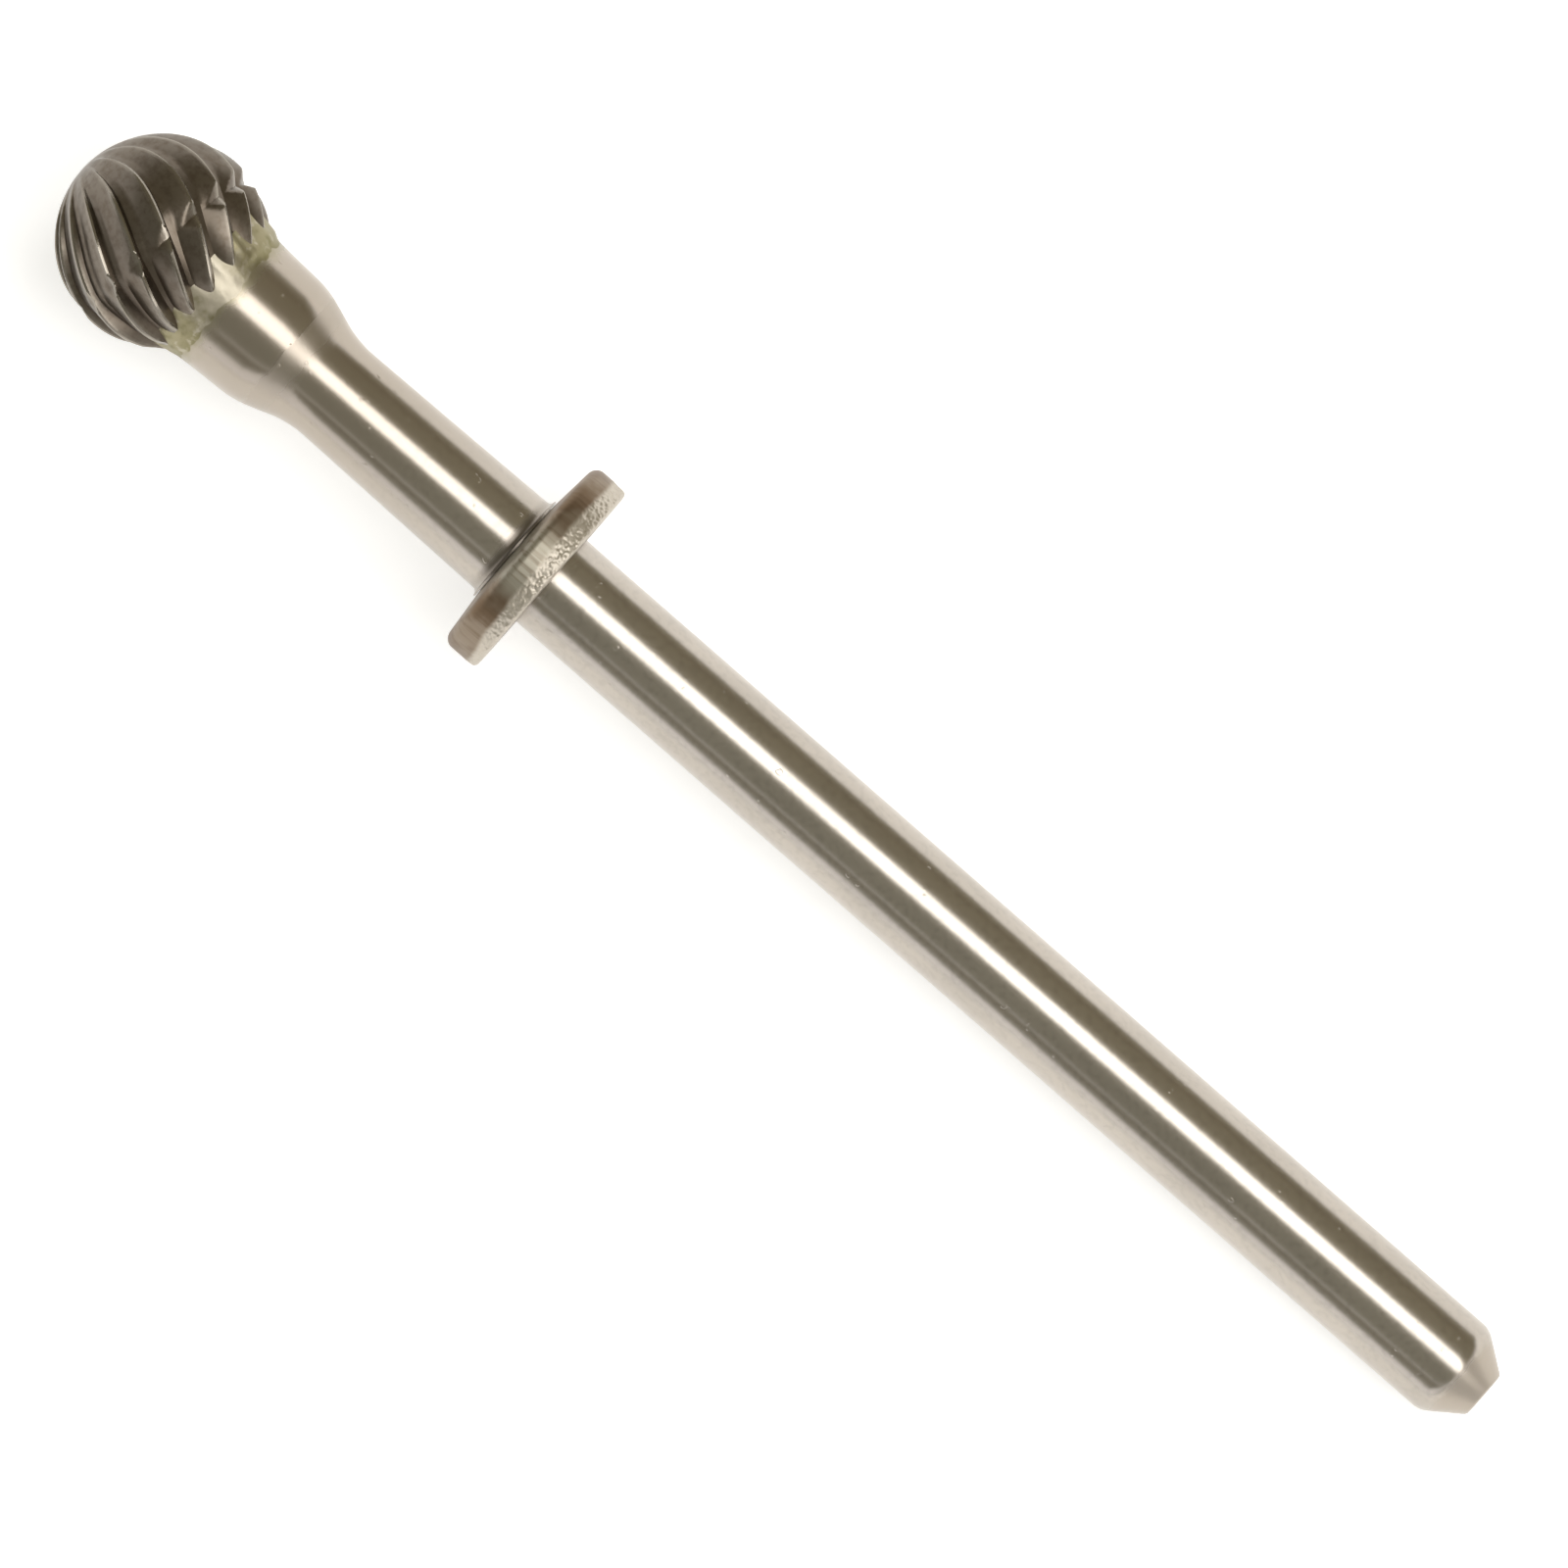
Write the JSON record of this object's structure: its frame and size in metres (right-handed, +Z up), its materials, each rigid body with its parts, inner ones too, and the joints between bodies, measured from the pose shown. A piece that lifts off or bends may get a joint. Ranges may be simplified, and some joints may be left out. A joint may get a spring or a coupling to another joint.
{
  "type": "rotary burr",
  "caption": "Ball-nose rotary burr: spiral-fluted carbide ball brazed to a steel shank with a tapered neck, with a stop collar that slides on the shank.",
  "frame": {"origin": "centre of the shank's flat tail face, on the tool axis", "axes": "+X along the tool axis from the tail to the cutting head, +Z up as the tool lies on a bench"},
  "size_m": [0.1095, 0.0136, 0.0136],
  "materials": {
    "ground_steel": "ground and polished steel",
    "carbide": "dark ground tungsten carbide",
    "braze_metal": "pale yellow braze, as it flowed",
    "stamped_steel": "stamped steel with a rough sheared rim"
  },
  "bodies": {
    "burr": {"shank": "ground_steel", "burr_head": "carbide", "braze_joint": "braze_metal"},
    "collar": {"stop_collar": "stamped_steel"}
  },
  "joints": [
    {"name": "collar_slide", "type": "slide", "parent": "burr", "child": "collar", "axis": [-1, 0, 0], "range_m": [0, 0.0704]}
  ]
}
